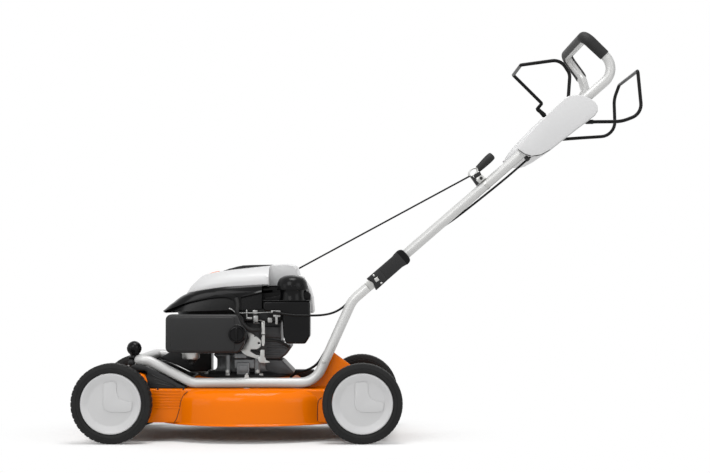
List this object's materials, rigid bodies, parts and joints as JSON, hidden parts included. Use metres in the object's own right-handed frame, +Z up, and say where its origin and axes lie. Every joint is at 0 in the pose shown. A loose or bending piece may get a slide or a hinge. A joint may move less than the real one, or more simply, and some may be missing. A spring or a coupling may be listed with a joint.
{
  "type": "petrol lawn mower",
  "caption": "Walk-behind petrol lawn mower with a round orange deck, a tubular frame and a folding handlebar on a single tube.",
  "frame": {"origin": "on the ground, under the middle of the machine's outline", "axes": "+X towards the operator, +Y towards the operator's right as they look at the machine's front from behind it, +Z up"},
  "size_m": [1.4383, 0.5, 1.0397],
  "materials": {
    "orange_paint": "gloss paint",
    "silver_paint": "satin paint",
    "black_plastic": "fine grain",
    "light_grey_plastic": "satin",
    "black_rubber": "soft",
    "tyre": "ribbed tread",
    "bright_steel": "brushed",
    "black_wire": "satin paint",
    "cast_aluminium": "as cast"
  },
  "bodies": {
    "chassis": {"deck": "orange_paint", "front_cover": "black_plastic", "frame_tube": "silver_paint", "fold_tongue": "bright_steel", "crankcase": "cast_aluminium", "cylinder": "cast_aluminium", "cylinder_head": "cast_aluminium", "spark_plug": "black_plastic", "muffler": "bright_steel", "carburettor": "cast_aluminium", "float_bowl": "bright_steel", "air_box_base": "black_plastic", "air_box_cover": "black_plastic", "air_filter": "light_grey_plastic", "blower_housing": "black_plastic", "top_cover": "light_grey_plastic", "vent_grille": "black_plastic", "fuel_tank": "black_plastic", "control_bracket": "bright_steel", "gearbox": "cast_aluminium", "drive_belt": "black_rubber", "engine_cable": "black_rubber", "drive_cable": "black_rubber", "starter_rope": "black_rubber"},
    "front_carriage": {"front_axle": "bright_steel", "height_lever": "bright_steel", "height_knob": "black_plastic"},
    "rear_carriage": {"rear_crank_left": "bright_steel", "rear_crank_right": "bright_steel"},
    "front_left_wheel": {"tyre_front_left": "tyre", "rim_front_left": "light_grey_plastic"},
    "front_right_wheel": {"tyre_front_right": "tyre", "rim_front_right": "light_grey_plastic"},
    "rear_left_wheel": {"tyre_rear_left": "tyre", "rim_rear_left": "light_grey_plastic"},
    "rear_right_wheel": {"tyre_rear_right": "tyre", "rim_rear_right": "light_grey_plastic"},
    "wheel_drive": {"drive_shaft": "bright_steel"},
    "gearbox_input": {"gearbox_pulley": "bright_steel"},
    "rotor": {"crankshaft": "bright_steel", "flywheel": "cast_aluminium", "engine_pulley": "bright_steel", "blade_hub": "bright_steel", "blade": "bright_steel", "blade_bolt": "bright_steel"},
    "recoil": {"recoil_pulley": "black_plastic"},
    "handle": {"handle_tube": "silver_paint", "hand_grip": "black_rubber", "fold_clamp": "black_plastic", "fold_bolt": "bright_steel", "console": "light_grey_plastic", "rope_guide": "bright_steel"},
    "stop_bail": {"engine_bail": "black_wire"},
    "drive_lever": {"drive_bail": "black_wire"},
    "brake": {"brake_lever": "bright_steel"},
    "starter": {"starter_grip": "black_rubber"},
    "fuel_closure": {"fuel_cap": "black_plastic"},
    "oil_closure": {"oil_cap": "black_plastic"},
    "filter_closure": {"air_box_knob": "black_plastic"}
  },
  "joints": [
    {"name": "front_height", "type": "hinge", "parent": "chassis", "child": "front_carriage", "pos_m": [-0.58, 0, 0.118], "axis": [0, 1, 0], "range_deg": [-30, 0]},
    {"name": "rear_height", "type": "hinge", "parent": "chassis", "child": "rear_carriage", "pos_m": [-0.03, 0, 0.085], "axis": [0, 1, 0], "range_deg": [0, 25]},
    {"name": "front_left_spin", "type": "hinge", "parent": "front_carriage", "child": "front_left_wheel", "pos_m": [-0.6195, -0.229, 0.09962], "axis": [0, 1, 0], "continuous": true},
    {"name": "front_right_spin", "type": "hinge", "parent": "front_carriage", "child": "front_right_wheel", "pos_m": [-0.6195, 0.229, 0.09962], "axis": [0, 1, 0], "continuous": true},
    {"name": "rear_left_spin", "type": "hinge", "parent": "rear_carriage", "child": "rear_left_wheel", "pos_m": [0.002, -0.229, 0.09962], "axis": [0, 1, 0], "continuous": true},
    {"name": "rear_right_spin", "type": "hinge", "parent": "rear_carriage", "child": "rear_right_wheel", "pos_m": [0.002, 0.229, 0.09962], "axis": [0, 1, 0], "continuous": true},
    {"name": "drive_shaft_spin", "type": "hinge", "parent": "chassis", "child": "wheel_drive", "pos_m": [-0.03, 0, 0.085], "axis": [0, 1, 0], "continuous": true},
    {"name": "blade_spin", "type": "hinge", "parent": "chassis", "child": "rotor", "pos_m": [-0.3, 0, 0.07], "axis": [0, 0, 1], "continuous": true},
    {"name": "gearbox_pulley_spin", "type": "hinge", "parent": "chassis", "child": "gearbox_input", "pos_m": [-0.03, 0, 0.12], "axis": [0, 0, 1], "continuous": true},
    {"name": "recoil_spin", "type": "hinge", "parent": "chassis", "child": "recoil", "pos_m": [-0.3, 0, 0.38], "axis": [0, 0, 1], "continuous": true},
    {"name": "handle_fold", "type": "hinge", "parent": "chassis", "child": "handle", "pos_m": [0.038, -0.165, 0.4067], "axis": [0, -1, 0], "range_deg": [0, 115], "deforming": ["engine_cable", "drive_cable", "starter_rope"]},
    {"name": "engine_bail_pull", "type": "hinge", "parent": "handle", "child": "stop_bail", "pos_m": [0.522, 0, 0.828], "axis": [0, 1, 0], "range_deg": [0, 50], "stiffness_Nm_per_rad": 1.2, "springref_deg": -20.05},
    {"name": "drive_bail_pull", "type": "hinge", "parent": "handle", "child": "drive_lever", "pos_m": [0.52, 0, 0.788], "axis": [0, -1, 0], "range_deg": [0, 22], "stiffness_Nm_per_rad": 1.5, "springref_deg": -34.38},
    {"name": "brake_lever_swing", "type": "hinge", "parent": "chassis", "child": "brake", "pos_m": [-0.251, -0.1228, 0.24], "axis": [0, 1, 0], "range_deg": [0, 12]},
    {"name": "starter_pull", "type": "slide", "parent": "handle", "child": "starter", "axis": [0.5299, 0, 0.848], "range_m": [0, 0.3], "stiffness_N_per_m": 20, "springref_m": -0.12},
    {"name": "fuel_cap_turn", "type": "hinge", "parent": "chassis", "child": "fuel_closure", "pos_m": [-0.177, -0.12, 0.3953], "axis": [0, 0, 1], "range_deg": [0, 90]},
    {"name": "oil_cap_turn", "type": "hinge", "parent": "chassis", "child": "oil_closure", "pos_m": [-0.3, 0.11, 0.167], "axis": [0, 0, 1], "range_deg": [0, 90]},
    {"name": "air_box_knob_turn", "type": "hinge", "parent": "chassis", "child": "filter_closure", "pos_m": [-0.313, -0.1903, 0.269], "axis": [0, 1, 0], "range_deg": [0, 90]}
  ],
  "couplings": [
    {"joint": "gearbox_pulley_spin", "follows": "blade_spin", "ratio": 1.7},
    {"joint": "recoil_spin", "follows": "starter_pull", "rad_per_m": 26.3},
    {"joint": "brake_lever_swing", "follows": "engine_bail_pull", "ratio": 0.2}
  ]
}
